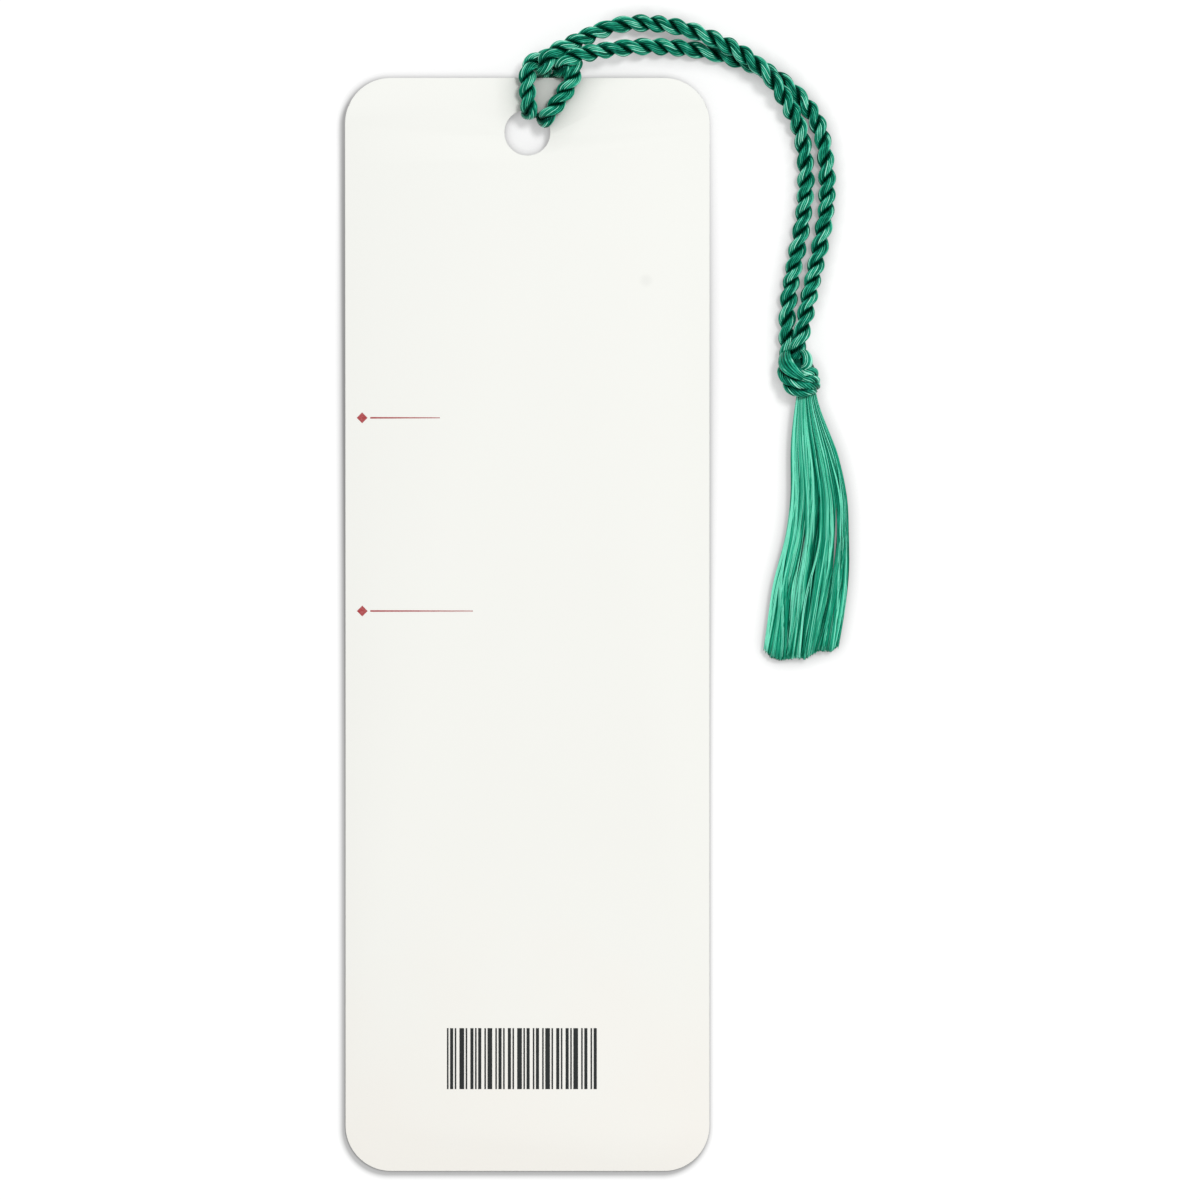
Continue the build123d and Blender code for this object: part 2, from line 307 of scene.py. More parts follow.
KNOT_TWISTED = [
    [
        (785, 366, 0.9, 0.5, 0.45),
        (780, 369, 1.8, 0.55, 0.5),
        (780, 375.5, 3.0, 0.64, 0.5),
        (785.5, 381.5, 3.8, 0.66, 0.5),
        (795, 385, 4.15, 0.64, 0.5),
        (804, 386, 4.15, 0.64, 0.55),
        (812, 386.5, 3.7, 0.65, 0.55),
        (817.5, 386.5, 2.6, 0.65, 0.55),
        (815, 386, 1.4, 0.5, 0.5),
    ],
    [
        (789, 381, 0.9, 0.5, 0.45),
        (785, 384.5, 2.2, 0.6, 0.5),
        (787, 389.5, 3.4, 0.68, 0.52),
        (794, 393.2, 3.95, 0.7, 0.52),
        (802, 394.2, 4.0, 0.68, 0.5),
        (810, 392.5, 3.7, 0.62, 0.5),
        (815.5, 391, 2.5, 0.5, 0.5),
        (808, 389, 1.2, 0.5, 0.45),
    ],
    [
        (798, 374, 3.0, 0.45, 0.4),
        (804.5, 373.5, 3.9, 0.6, 0.5),
        (811, 372.5, 3.8, 0.7, 0.55),
        (815.5, 373.5, 2.7, 0.7, 0.55),
        (813, 377, 1.5, 0.6, 0.5),
    ],
    [
        (799, 380, 3.4, 0.45, 0.4),
        (806, 379.5, 4.2, 0.55, 0.5),
        (812.5, 379.8, 3.9, 0.6, 0.52),
        (817.5, 381, 2.8, 0.6, 0.52),
        (814, 383, 1.5, 0.5, 0.5),
    ],
    [
        (783, 378, 1.2, 0.6, 0.45),
        (791, 384, 0.7, 0.7, 0.45),
        (802, 389, 0.7, 0.7, 0.45),
        (812, 392, 1.4, 0.6, 0.45),
    ],
]
COMBED_YARNS = 14
COMBED_TWIST = 0.12
COMBED_SEED = 20
TWISTED_YARNS = 8
TWISTED_TWIST = 1.5
TWISTED_SEED = 30
PLY_GROOVE = 0.3
PLY_GROOVE_SHADE = 1.2
# Painted light round a knot strand, from dark flanks to its lit outer side; the groove shade paints shade
# between its plies
KNOT_PAINTED_LIGHT = (-0.2, 0.6)
KNOT_TONE = 0.12

# Core of the knot: a ball with low lumps, counted round it and along it, painted dark as shade
CORE_RADII = (2.3, 2.75, 1.6)
CORE_RINGS = 18
CORE_SIDES = 24
CORE_END = 0.985
CORE_LUMPS = (3, 4)
CORE_LUMP_HEIGHT = 0.05
CORE_SHADE_TONE = 0.12
CORE_GRAIN = 2.0

# Skirt: rows of pixel y, left and right edge, middle height and half thickness
SKIRT_SECTIONS = [
    (392, 797, 815, 2.25, 0.95),
    (404, 795.5, 817, 2.15, 1.05),
    (431, 792, 827.5, 1.75, 1.2),
    (457, 790, 838, 1.5, 1.3),
    (494, 790, 847.5, 1.42, 1.32),
    (530, 787, 849, 1.40, 1.3),
    (560, 780.5, 848, 1.37, 1.28),
    (585, 773.5, 846.5, 1.33, 1.23),
    (620, 769, 842, 1.2, 1.1),
    (658, 763.5, 835, 1.05, 0.95),
]
SKIRT_EDGE_SPACING = 0.2
SKIRT_SEED = 5
SKIRT_RINGS = 28

# Cut end of the skirt: rows of place across it, from -1 to 1, and pixel y
SKIRT_CUT = [
    (-1.0, 648),
    (-0.8, 656),
    (-0.5, 658),
    (-0.1, 656),
    (0.15, 657),
    (0.5, 649),
    (0.85, 650),
    (1.0, 645),
]
CUT_SPREAD = 1.2

# Locks of the skirt: edges across it, ranges of what is drawn for each, and where they start and end
LOCK_EDGES = [-1, -0.86, -0.7, -0.56, -0.4, -0.26, -0.1, 0.04, 0.2, 0.34, 0.46, 0.58, 0.74, 0.88, 1]
LOCK_TONES = (-0.09, 0.09)
LOCK_RISES = (-0.3, 0.3)
LOCK_SQUEEZES = (0.2, 0.55)
LOCK_PACES = (3.5, 8.0)
LOCK_WANDER = 0.05
LOCK_WANDER_START = (0.05, 0.35)
LOCK_SQUEEZE_START = (0.1, 0.45)
LOCK_SQUEEZE_END = (0.7, 1)
LOCK_FULLNESS = 1.15
LOCK_RIDGE = 0.4
LOCK_RIDGE_LEVEL = 0.6
LOCK_RIDGE_START = (0.08, 0.4)

# Slit between two locks
SLIT_SHARE = 0.58
SLIT_MIDDLE = 0.56
SLIT_LENGTH = 0.12
SLIT_OPENING = 0.05

# Wisps: small groups of fibres within the locks, some of which stray into the next lock
WISPS = 300
WISP_FIBRES = 6
WISP_SPREAD = 0.014
WISP_DEPTH = 0.55
WISP_WAVE = 0.055
WISP_PACES = (3, 9)
ANY_PHASE = (0, 6.28)
STRAY_SHARE = 0.25
STRAY_STARTS = (0.1, 0.6)
STRAY_LENGTH = 0.35
STRAY_DEPTH = 0.3

# Tone of a wisp: its base and contrast, and how crests, sheen, side, depth and root change it. Lighter
# crests, sheen bands and glints are painted light, and darker deep wisps painted shade
WISP_TONE = 0.57
WISP_CONTRAST = 0.42
PAINTED_CREST_LIGHT = 0.2
CREST_LEVEL = 0.55
CREST_START = (0.0, 0.25)
# Painted sheen: bands of lighter and darker tone along each lock
PAINTED_SHEEN_TONE = 0.12
PAINTED_SHEEN_PACE = 1.3
SIDE_TONE = 0.3
# Painted shade: deeper wisps are darker
DEPTH_SHADE_TONE = 0.4
# Painted glints: a share of wisps laid on top and made lighter
PAINTED_GLINT_SHARE = 0.025
PAINTED_GLINT_TONE = 0.25
ROOT_TONE = 0.06
ROOT_TONE_END = (0.05, 0.3)

# Fibres: how each differs from its wisp, and its form
FLYAWAY_SHARE = 0.02
FLYAWAY_DRIFT = 0.06
FIBRE_DRIFT = 0.008
DRIFT_PACES = (5, 14)
FIBRE_DEPTHS = (0, 0.08)
FIBRE_TONES = (-0.25, 0.25)
FIBRE_SIDES = 4
FIBRE_RADIUS = 0.055
FIBRE_RADIUS_SHARES = (0.7, 1.2)
FIBRE_ROOT_SHARE = 0.65
FIBRE_ROOT_END = (0, 0.25)
FIBRE_TURNS = (0, 1.57)
FIBRE_REACH = 1.03
FIBRE_GRAIN_APART = 0.3
FIBRE_GRAIN_ALONG = 9.0
CHORD_SHARE = 0.96
CHORD_LEAST = 0.05
TOP_SHARE = 0.8

# Under layer of the skirt: even fibres, painted dark as the shade under the locks
UNDER_FIBRES = 450
UNDER_REACH = 0.97
UNDER_WAVE = 0.02
UNDER_DEPTHS = (0.5, 1)
UNDER_SHADE_TONES = (0.1, 0.34)

# Camera, with its clip end in metres
CAMERA_HEIGHT = 1200.0
CAMERA_CLIP_END = 10

# Floor, with its half side in metres
FLOOR_HALF = 3.0
FLOOR_DROP = 0.05
FLOOR_GREY = 0.6
FLOOR_GLOW = 0.48
# Painted shade on the floor where another surface is near: its reach and strength
FLOOR_CONTACT_REACH = 2.5
FLOOR_CONTACT_SHADE = 0.6
WHITE = (1, 1, 1, 1)
FLOOR_FINISH = {"Roughness": 0.9, "Specular IOR Level": 0.0, "Emission Color": WHITE}

# Painted soft shadow of the card's outline and hole on the floor: rows of distance past the edge and tone
EDGE_SHADES = [(-2.0, 1.0), (-1.2, 0.53), (0.0, 0.53), (0.3, 0.76), (0.6, 0.91), (1.0, 1.0)]
EDGE_SHIFT = (-0.36, -0.24, 0)
EDGE_GROWTH = (0.0, 0.28)
HOLE_SHADES = [(-1.1, 1.0), (-0.5, 0.93), (0.0, 0.74), (1.2, 0.74), (2.0, 1.0)]

# Light, in metres and watts
KEY_PLACE = (1.00, 0.95, 3.05)
KEY_TARGET = (0.01, 0.0, 0.0)
KEY_SIZE = 0.68
KEY_POWER = 50.0
WORLD_STRENGTH = 0.58


def pixel_place(px, py):
    """Place on the table, in millimetres, under a pixel of the photograph."""
    return (px - ORIGIN_PIXEL[0]) * PIXEL, (ORIGIN_PIXEL[1] - py) * PIXEL


def metres(place):
    """A place in millimetres as a point of the frame."""
    return tuple(float(part) * MM for part in place)


def lengths_along(line):
    """Length of a line from its start to each of its points."""
    steps = np.linalg.norm(np.diff(line, axis=0), axis=1)
    return np.concatenate([[0.0], np.cumsum(steps)])


def smooth_line(points, spacing):
    """Evenly spaced points along the NURBS spline on a route's points, in millimetres."""
    curve = bpy.data.curves.new("route", "CURVE")
    curve.dimensions = "3D"
    curve.resolution_u = ROUTE_STEPS
    spline = curve.splines.new("NURBS")
    spline.points.add(len(points) - 1)
    for spot, place in zip(spline.points, points):
        spot.co = (*place, 1)
    spline.order_u = ROUTE_ORDER
    spline.use_endpoint_u = True
    holder = bpy.data.objects.new("route", curve)
    mesh = bpy.data.meshes.new_from_object(holder)
    line = np.array([v.co for v in mesh.vertices])
    bpy.data.objects.remove(holder)
    bpy.data.curves.remove(curve)
    bpy.data.meshes.remove(mesh)
    gone = lengths_along(line)
    places = np.linspace(0, gone[-1], int(gone[-1] / spacing) + 2)
    return np.stack([np.interp(places, gone, line[:, axis]) for axis in range(3)], axis=1)


def unit(vectors):
    """Vectors brought to length one."""
    return vectors / np.linalg.norm(vectors, axis=-1, keepdims=True)


def smooth_step(value, low, high):
    """Rise from 0 at low to 1 at high, level at both."""
    share = np.clip((value - low) / (high - low), 0, 1)
    return share * share * (3 - 2 * share)


def carried_frames(line):
    """Tangents of a line, and a normal and binormal carried along it without twist."""
    tangents = unit(np.gradient(line, axis=0))
    normals = np.empty_like(tangents)
    normal = np.array([0.0, 0.0, 1.0])
    for index, tangent in enumerate(tangents):
        normal = unit(normal - (normal @ tangent) * tangent)
        normals[index] = normal
    return tangents, normals, np.cross(tangents, normals)


def tube_faces(rings, sides, first):
    """Quads of a tube of rings, with both ends closed by one face."""
    ring = np.arange(rings - 1)[:, None] * sides + first
    side = np.arange(sides)[None, :]
    following = (side + 1) % sides
    corners = [ring + side, ring + following, ring + sides + following, ring + sides + side]
    last = first + (rings - 1) * sides
    caps = [list(range(first + sides - 1, first - 1, -1)), list(range(last, last + sides))]
    return np.stack(corners, axis=2).reshape(-1, 4).tolist() + caps


def yarn_profile(yarns, seed):
    """Round a section of yarns: each side's turn, height on its yarn, tone and reach."""
    draws = np.random.default_rng(seed)
    side = np.arange(yarns * SIDES_PER_YARN)
    yarn = side // SIDES_PER_YARN
    turn = 2 * math.pi * side / len(side)
    crown = np.abs(np.sin(yarns * turn / 2))
    tone = draws.uniform(-YARN_CONTRAST, YARN_CONTRAST, yarns)
    tone[draws.choice(yarns, BRIGHT_YARNS, replace=False)] += BRIGHT_YARN_TONE
    groove = YARN_GROOVE * draws.uniform(*GROOVE_SPREAD, yarns)
    return turn, crown, tone[yarn], 1 - groove[yarn] * (1 - crown)


def section_places(line, outward, across, depth, width):
    """Points of each ring, from their depth along outward and their width along across."""
    return line[:, None] + depth[..., None] * outward[:, None] + width[..., None] * across[:, None]


def painted_yarn_shade(crown, yarn_tone, painted_light):
    """Tone of points on a yarn, as painted shade and highlight: near black in the grooves and on flanks,
    bright on lit crowns.
    """
    return PAINTED_SHADE_TONE + painted_light * (FLANK_TONE + PAINTED_CROWN_HIGHLIGHT * crown**CROWN_POWER + yarn_tone)


def yarn_grain(turn, gone, seed):
    """Place of each point among the filaments: round the section, along it, and which strand."""
    return np.stack(
        np.broadcast_arrays(GRAIN_ROUND * turn[None, :], gone[:, None], GRAIN_APART * seed), axis=2
    )


def linked(name, mesh, *materials):
    """A mesh as an object in the scene, with its materials."""
    for material in materials:
        mesh.materials.append(material)
    piece = bpy.data.objects.new(name, mesh)
    bpy.context.collection.objects.link(piece)
    return piece


def yarn_piece(name, tubes, material):
    """One mesh of several tubes, each with its rings of places, their tone and their grain."""
    places, tones, grains, faces = [], [], [], []
    count = 0
    for surface, tone, grain in tubes:
        rings, sides = surface.shape[:2]
        faces += tube_faces(rings, sides, count)
        count += rings * sides
        places.append(surface.reshape(-1, 3))
        tones.append(np.broadcast_to(tone, (rings, sides)).ravel())
        grains.append(grain.reshape(-1, 3))
    mesh = bpy.data.meshes.new(name)
    mesh.from_pydata((np.concatenate(places) * MM).tolist(), [], faces)
    mesh.shade_smooth()
    tone_layer = mesh.attributes.new("tone", "FLOAT", "POINT")
    tone_layer.data.foreach_set("value", np.concatenate(tones).astype(np.float32))
    grain_layer = mesh.attributes.new("grain", "FLOAT_VECTOR", "POINT")
    grain_layer.data.foreach_set("vector", np.concatenate(grains).astype(np.float32).ravel())
    return linked(name, mesh, material)


# Nodes that several materials use


def new_material(name):
    """A material with its nodes, their links and its main shader."""
    material = bpy.data.materials.new(name)
    material.use_nodes = True
    nodes = material.node_tree.nodes
    return material, nodes, material.node_tree.links, nodes["Principled BSDF"]


def set_inputs(node, values):
    """Constant values on a node's own sockets, by the names of the sockets."""
    for name, value in values.items():
        node.inputs[name].default_value = value


def ramp_node(nodes, links, value, stops):
    """Colour of a value, from a ramp's stops."""
    ramp = nodes.new("ShaderNodeValToRGB")
    for _ in range(len(stops) - 2):
        ramp.color_ramp.elements.new(0.5)
    for element, (place, colour) in zip(ramp.color_ramp.elements, stops):
        element.position = place
        element.color = (*colour, 1)
    links.new(value, ramp.inputs["Fac"])
    return ramp.outputs["Color"]


def math_node(nodes, links, operation, *values):
    """A number worked out from links and numbers."""
    node = nodes.new("ShaderNodeMath")
    node.operation = operation
    for socket, value in zip(node.inputs, values):
        if isinstance(value, (int, float)):
            socket.default_value = value
        else:
            links.new(value, socket)
    return node.outputs["Value"]


def vector_node(nodes, links, operation, vector, other=(0, 0, 0)):
    """The outputs of a node that works on a linked vector and a fixed one."""
    node = nodes.new("ShaderNodeVectorMath")
    node.operation = operation
    links.new(vector, node.inputs[0])
    node.inputs[1].default_value = other
    return node.outputs


def share_node(nodes, links, value, start, end):
    """A node for the share of the way that a value has gone from a start to an end."""
    node = nodes.new("ShaderNodeMapRange")
    set_inputs(node, {"From Min": start, "From Max": end})
    links.new(value, node.inputs["Value"])
    return node


def noise_node(nodes, links, place, scale, detail):
    """Cloudy noise by place, from 0 to 1."""
    node = nodes.new("ShaderNodeTexNoise")
    set_inputs(node, {"Scale": scale, "Detail": detail})
    links.new(place, node.inputs["Vector"])
    return node.outputs["Fac"]


def bump(nodes, links, shader, height, strength, depth):
    """Fine relief on a shader, from a height of 0 to 1."""
    node = nodes.new("ShaderNodeBump")
    set_inputs(node, {"Strength": strength, "Distance": depth * MM})
    links.new(height, node.inputs["Height"])
    links.new(node.outputs["Normal"], shader.inputs["Normal"])


def contact_shade(nodes, links, reach, strength):
    """Painted shade: a tone that falls where another surface is near."""
    contact = nodes.new("ShaderNodeAmbientOcclusion")
    contact.inputs["Distance"].default_value = reach * MM
    return math_node(nodes, links, "MULTIPLY_ADD", contact.outputs["AO"], strength, 1 - strength)


# Materials


def rayon(name, stops, roughness, streaks):
    """Silky yarn: its colour follows each yarn's tone, which holds painted light and shade, with fine
    filaments along it.
    """
    material, nodes, links, shader = new_material(name)
    tone = nodes.new("ShaderNodeAttribute")
    tone.attribute_name = "tone"
    grain = nodes.new("ShaderNodeAttribute")
    grain.attribute_name = "grain"
    filaments = noise_node(nodes, links, grain.outputs["Vector"], FILAMENT_SCALE, FINE_NOISE_DETAIL)
    streak = math_node(nodes, links, "MULTIPLY_ADD", filaments, streaks, -streaks / 2)
    streaked = math_node(nodes, links, "ADD", tone.outputs["Fac"], streak)
    links.new(ramp_node(nodes, links, streaked, stops), shader.inputs["Base Color"])
    bump(nodes, links, shader, filaments, FILAMENT_BUMP, FILAMENT_DEPTH)
    shader.inputs["Roughness"].default_value = roughness
    set_inputs(shader, RAYON_FINISH)
    return material


def card_colour(nodes, links, place):
    """Off-white, a little warmer towards the card's foot, with a faint mottle."""
    along = nodes.new("ShaderNodeSeparateXYZ")
    links.new(place, along.inputs["Vector"])
    share = share_node(nodes, links, along.outputs["Y"], cad_low.y, -cad_low.y)
    mottle = noise_node(nodes, links, place, MOTTLE_SCALE, CARD_NOISE_DETAIL)
    cloudy = math_node(nodes, links, "MULTIPLY_ADD", mottle, MOTTLE_SHARE, -MOTTLE_SHARE / 2)
    warmth = math_node(nodes, links, "ADD", share.outputs["Result"], cloudy)
    return ramp_node(nodes, links, warmth, CARD_STOPS)


def smudged(nodes, links, place, colour):
    """A colour with one faint round smudge."""
    middle = metres((*pixel_place(*SMUDGE_PIXEL), LIFT_AT_HOLE))
    distance = vector_node(nodes, links, "DISTANCE", place, middle)["Value"]
    spot = share_node(nodes, links, distance, SMUDGE_EDGE * MM, SMUDGE_CORE * MM)
    spot.interpolation_type = "SMOOTHSTEP"
    spot.inputs["To Max"].default_value = SMUDGE_SHARE
    mix = nodes.new("ShaderNodeMix")
    mix.data_type = "RGBA"
    mix.inputs["B"].default_value = SMUDGE_COLOUR
    links.new(spot.outputs["Result"], mix.inputs["Factor"])
    links.new(colour, mix.inputs["A"])
    return mix.outputs["Result"]


def card_stock():
    """Smooth coated card, with painted shade where the cord lies close to it."""
    material, nodes, links, shader = new_material("card_stock")
    place = nodes.new("ShaderNodeTexCoord").outputs["Object"]
    colour = smudged(nodes, links, place, card_colour(nodes, links, place))
    shaded = nodes.new("ShaderNodeVectorMath")
    shaded.operation = "SCALE"
    links.new(colour, shaded.inputs[0])
    # Painted shade where the cord is near
    links.new(contact_shade(nodes, links, CARD_CONTACT_REACH, CARD_CONTACT_SHADE), shaded.inputs["Scale"])
    links.new(shaded.outputs["Vector"], shader.inputs["Base Color"])
    tooth = noise_node(nodes, links, place, TOOTH_SCALE, CARD_NOISE_DETAIL)
    bump(nodes, links, shader, tooth, TOOTH_BUMP, TOOTH_DEPTH)
    set_inputs(shader, CARD_FINISH)
    return material


def fibrous(name, colour, speckle, roughness):
    """A flat tone with fine uneven specks, for ink and for the card's cut edge."""
    material, nodes, links, shader = new_material(name)
    place = nodes.new("ShaderNodeTexCoord").outputs["Object"]
    specks = noise_node(nodes, links, place, SPECK_SCALE, FINE_NOISE_DETAIL)
    lighter = tuple(min(1.0, part + speckle) for part in colour)
    stops = list(zip(SPECK_STOPS, (colour, lighter)))
    links.new(ramp_node(nodes, links, specks, stops), shader.inputs["Base Color"])
    set_inputs(shader, {"Roughness": roughness, "Specular IOR Level": SPECK_GLOSS})
    return material


cord_rayon = rayon("cord_rayon", CORD_STOPS, CORD_ROUGHNESS, CORD_STREAKS)
skirt_rayon = rayon("skirt_rayon", SKIRT_STOPS, SKIRT_ROUGHNESS, SKIRT_STREAKS)

# Card


def card_lift(y, above):
    """Height of the card at y: flat, then bent up along an arc over the cord under the hole."""
    run = np.maximum(y - BEND_START_Y, 0)
    full_run = HOLE_Y - BEND_START_Y
    radius = (full_run**2 + LIFT_AT_HOLE**2) / (2 * LIFT_AT_HOLE)
    return radius - np.sqrt((radius - above) ** 2 - run**2)


def arc_points(centre_x, centre_y, radius, start, end, steps):
    """Points on an arc between two angles in degrees, both ends included."""
    angles = np.radians(np.linspace(start, end, steps + 1))
    return [(centre_x + radius * math.cos(a), centre_y + radius * math.sin(a)) for a in angles]


def card_outline(low, high):
    """Points round the card, anticlockwise from the arc of its upper right corner."""
    corners = [(high.x, high.y), (low.x, high.y), (low.x, low.y), (high.x, low.y)]
    outline = []
    for quarter, (x_edge, y_edge) in enumerate(corners):
        middle_x = x_edge - math.copysign(CORNER_RADIUS, x_edge)
        middle_y = y_edge - math.copysign(CORNER_RADIUS, y_edge)
        start = 90 * quarter
        outline += arc_points(middle_x, middle_y, CORNER_RADIUS, start, start + 90, CORNER_STEPS)
    return outline


def flat_sheet(outline, hole):
    """The sheet's lower face, cut across where it will bend."""
    sheet = bmesh.new()
    for loop in [outline, hole]:
        points = [sheet.verts.new((x, y, 0)) for x, y in loop]
        for here, there in zip(points, points[1:] + points[:1]):
            sheet.edges.new((here, there))
    bmesh.ops.triangle_fill(sheet, use_beauty=True, edges=sheet.edges[:])
    top_y = max(y for _, y in outline)
    for y in np.linspace(BEND_START_Y, top_y, BEND_CUTS, endpoint=False):
        everything = sheet.verts[:] + sheet.edges[:] + sheet.faces[:]
        bmesh.ops.bisect_plane(sheet, geom=everything, plane_co=(0, y, 0), plane_no=(0, 1, 0))
    return sheet


def is_rim(edge):
    """Whether an edge runs round one of the sheet's two faces."""
    rise = abs(edge.verts[0].co.z - edge.verts[1].co.z)
    return edge.calc_face_angle(0) > math.radians(RIM_LEAST_DEGREES) and rise < CARD_THICKNESS / 2


def thicken(sheet):
    """Raise the sheet to its thickness and soften both rims."""
    raised = bmesh.ops.extrude_face_region(sheet, geom=sheet.faces[:])
    for item in raised["geom"]:
        if isinstance(item, bmesh.types.BMVert):
            item.co.z = CARD_THICKNESS
    bmesh.ops.recalc_face_normals(sheet, faces=sheet.faces[:])
    rim = [edge for edge in sheet.edges if is_rim(edge)]
    bmesh.ops.bevel(
        sheet,
        geom=rim,
        offset=CARD_EDGE_ROUND,
        segments=CARD_EDGE_STEPS,
        profile=CARD_EDGE_PROFILE,
        affect="EDGES",
    )


def card_piece():
    """The card: a round-cornered sheet with its hole, bent along its length, with softened edges."""
    low, high = (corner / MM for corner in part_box("card"))
    hole = arc_points(0, HOLE_Y, HOLE_RADIUS, 0, 360, 4 * CORNER_STEPS)[:-1]
    sheet = flat_sheet(card_outline(low, high), hole)
    thicken(sheet)
    for face in sheet.faces:
        face.material_index = 1 if abs(face.normal.z) < UPRIGHT_LIMIT else 0
    for point in sheet.verts:
        point.co.z = card_lift(point.co.y, point.co.z)
        point.co *= MM
    mesh = bpy.data.meshes.new("card_sheet")
    sheet.to_mesh(mesh)
    sheet.free()
    mesh.shade_smooth()
    mesh.set_sharp_from_angle(angle=math.radians(SHARP_DEGREES))
    return linked("card_sheet", mesh, card_stock(), fibrous("card_cut_edge", *CUT_EDGE))


card = card_piece()
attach(card, "card")
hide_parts("card")

# Print


def ink_prism(sheet, corners):
    """A flat patch of ink on the card, with its foot under the surface."""
    top = []
    foot = []
    for x, y in corners:
        z = float(card_lift(y, CARD_THICKNESS))
        top.append(sheet.verts.new(metres((x, y, z + INK_RISE))))
        foot.append(sheet.verts.new(metres((x, y, z - INK_SINK))))
    sheet.faces.new(top)
    sheet.faces.new(foot[::-1])
    for index in range(len(corners)):
        after = (index + 1) % len(corners)
        sheet.faces.new((foot[index], foot[after], top[after], top[index]))


def ink_piece(name, patches, material):
    """All the patches of one ink, as one piece on the card."""
    sheet = bmesh.new()
    for corners in patches:
        ink_prism(sheet, corners)
    bmesh.ops.recalc_face_normals(sheet, faces=sheet.faces[:])
    mesh = bpy.data.meshes.new(name)
    sheet.to_mesh(mesh)
    sheet.free()
    piece = linked(name, mesh, material)
    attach(piece, "card")


def diamond(left, y):
    """Corners of the small diamond that starts a rule."""
    middle = left + DIAMOND_HALF
    return [(left, y), (middle, y - DIAMOND_HALF), (middle + DIAMOND_HALF, y), (middle, y + DIAMOND_HALF)]


def tapered_rule(left, right, y):
    """Corners of a fine rule, narrower at its right end."""
    return [
        (left, y - RULE_HALF_WIDTH),
        (right, y - RULE_END_HALF_WIDTH),
        (right, y + RULE_END_HALF_WIDTH),
        (left, y + RULE_HALF_WIDTH),
    ]


def rule_patches():
    """A diamond and a rule for each place to write."""
    patches = []
    for px_left, py, px_right in RULE_PIXELS:
        left, y = pixel_place(px_left, py)
        right, _ = pixel_place(px_right, py)
        patches.append(diamond(left, y))
        patches.append(tapered_rule(left + 2 * DIAMOND_HALF + RULE_GAP, right, y))
    return patches


def bar_patches():
    """Upright bars whose widths and gaps repeat."""
    px_left, px_right, py_top, py_foot = BARS_PIXELS
    left, top = pixel_place(px_left, py_top)
    right, foot = pixel_place(px_right, py_foot)
    patches = []
    x = left
    index = 0
    while x < right:
        width = BAR_SHARES[index % len(BAR_SHARES)] * BAR_UNIT
        patches.append([(x, foot), (x + width, foot), (x + width, top), (x, top)])
        x += width + GAP_SHARES[index % len(GAP_SHARES)] * BAR_UNIT
        index += 1
    return patches


ink_piece("red_rules", rule_patches(), fibrous("red_ink", *RED_INK))
ink_piece("print_bars", bar_patches(), fibrous("black_ink", *BLACK_INK))

# Cord: the middle of its whole length, from the knot round the hitch and back to the knot
cord_line = smooth_line([*UPPER_ROUTE[::-1], *HITCH_ROUTE, *LOWER_ROUTE], RING_SPACING)
cord_frames = carried_frames(cord_line)
cord_gone = lengths_along(cord_line)
free_lay = RUN_LAY + (ARCH_LAY - RUN_LAY) * smooth_step(cord_line[:, 1], *RUN_TO_ARCH_Y)
cord_lay = HITCH_LAY + (free_lay - HITCH_LAY) * smooth_step(cord_line[:, 0], *HITCH_TO_FREE_X)
cord_wind = 2 * math.pi / cord_lay
cord_turn = np.cumsum(cord_wind * np.gradient(cord_gone)) + TWIST_WANDER * np.sin(TWIST_PACE * cord_gone)
from_folds = [np.linalg.norm(cord_line - np.array(place), axis=1) for place in FOLD_PLACES]
unpressed = smooth_step(np.min(from_folds, axis=0), FOLD_CORE, FOLD_REACH)
fold_depth = FOLD_SHARE + (1 - FOLD_SHARE) * unpressed
fold_inward = unit((cord_line - np.array((0, HOLE_Y, 0))) * np.array((1, 1, 0)))


def press_at_folds(places, part):
    """Rings of a stretch of cord, pressed flat where it folds over the hole's edge."""
    inward = fold_inward[part][:, None]
    off_middle = ((places - cord_line[part][:, None]) * inward).sum(axis=2, keepdims=True)
    return places - (1 - fold_depth[part])[:, None, None] * off_middle * inward


def ply_surface(part, start_angle, seed):
    """Rings of one ply that winds round a stretch of the cord, with its grooved yarns."""
    tangents, normals, binormals = (vectors[part] for vectors in cord_frames)
    gone = cord_gone[part]
    ply_turn = start_angle + cord_turn[part][:, None]
    outward = np.cos(ply_turn) * normals + np.sin(ply_turn) * binormals
    onward = np.cos(ply_turn) * binormals - np.sin(ply_turn) * normals
    middle = cord_line[part] + HELIX_RADIUS * outward
    heading = unit(tangents + HELIX_RADIUS * cord_wind[part][:, None] * onward)
    across = np.cross(heading, outward)
    turn, crown, yarn_tone, reach = yarn_profile(YARNS, seed)
    angle = turn[None, :] - YARN_UNTWIST * cord_turn[part][:, None]
    waves = [swell * np.sin(pace * gone + shift * seed) for swell, pace, shift in PLUMP_WAVES]
    reach = reach * (1 + sum(waves))[:, None]
    depth = PLY_HALF_DEPTH * reach * np.cos(angle)
    width = PLY_HALF_WIDTH * reach * np.sin(angle)
    places = press_at_folds(section_places(middle, outward, across, depth, width), part)
    places[..., 2] = np.maximum(places[..., 2], 0)
    # Painted light and shade: lit on the ply's outer side, dark on the flanks where the plies meet
    painted_light = smooth_step(np.cos(angle), *CORD_PAINTED_LIGHT)
    return places, painted_yarn_shade(crown, yarn_tone, painted_light), yarn_grain(turn, gone, seed)


def rope_piece(name, first, last):
    """One stretch of the cord, its plies wound round each other, as one mesh."""
    part = slice(min(first, last), max(first, last) + 1)
    plies = [ply_surface(part, 2 * math.pi * ply / PLIES, CORD_SEED + ply) for ply in range(PLIES)]
    return yarn_piece(name, plies, cord_rayon)


